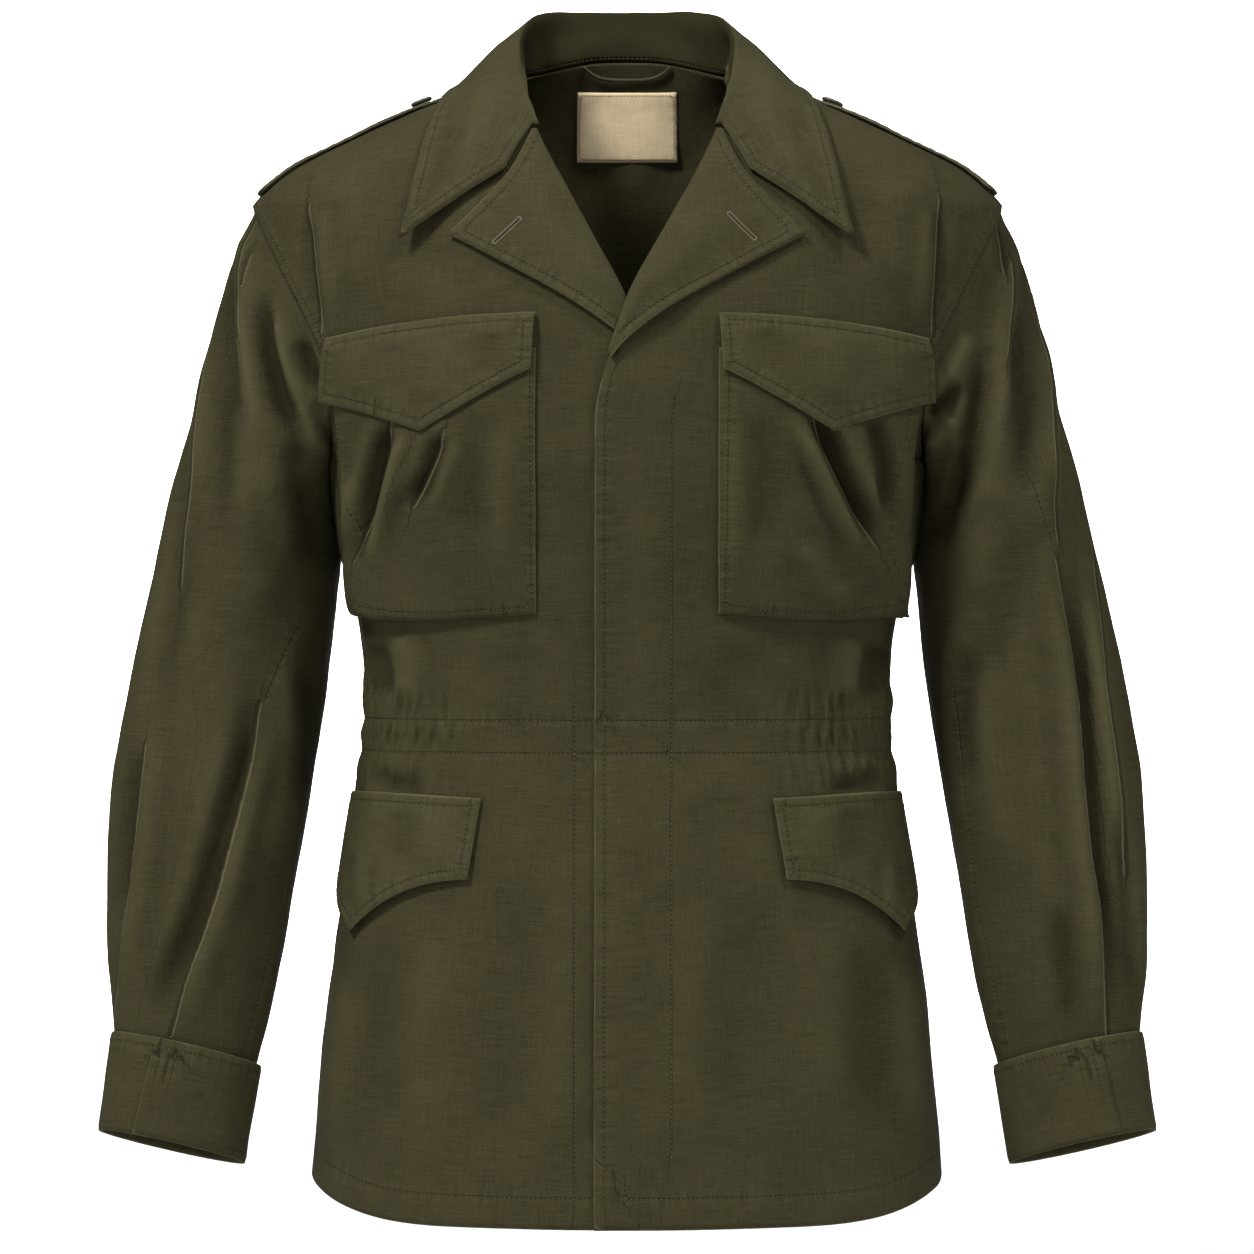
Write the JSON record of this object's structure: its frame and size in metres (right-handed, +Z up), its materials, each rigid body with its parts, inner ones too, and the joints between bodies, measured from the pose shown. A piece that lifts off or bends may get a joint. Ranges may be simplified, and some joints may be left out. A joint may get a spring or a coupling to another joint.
{
  "type": "field jacket",
  "caption": "Olive cotton field jacket worn open at the neck, with lapels, shoulder straps, chest pockets, hip flaps and cuffs, hollow for a wearer.",
  "frame": {"origin": "inside the neck, level with the shoulder seams' upper ends, where a wearer's neck and shoulders carry the jacket", "axes": "+X to the wearer's left, -Y to the front, +Z up; the jacket is longest along Z and shortest along Y"},
  "size_m": [0.6798, 0.2821, 0.7921],
  "materials": {
    "cloth": "washed matt cotton twill",
    "horn": "satin dyed horn",
    "linen": "plain matt tape"
  },
  "bodies": {
    "root": {"front_left": "cloth", "front_right": "cloth", "back": "cloth", "sleeve_left": "cloth", "sleeve_right": "cloth", "cuff_left": "cloth", "cuff_right": "cloth", "collar": "cloth", "lapel_left": "cloth", "lapel_right": "cloth", "chest_pocket_left": "cloth", "chest_pocket_right": "cloth", "chest_flap_left": "cloth", "chest_flap_right": "cloth", "hip_flap_left": "cloth", "hip_flap_right": "cloth", "shoulder_strap_left": "cloth", "shoulder_strap_right": "cloth", "strap_button_left": "horn", "strap_button_right": "horn", "neck_label": "linen", "hanger_loop": "cloth"}
  },
  "joints": []
}
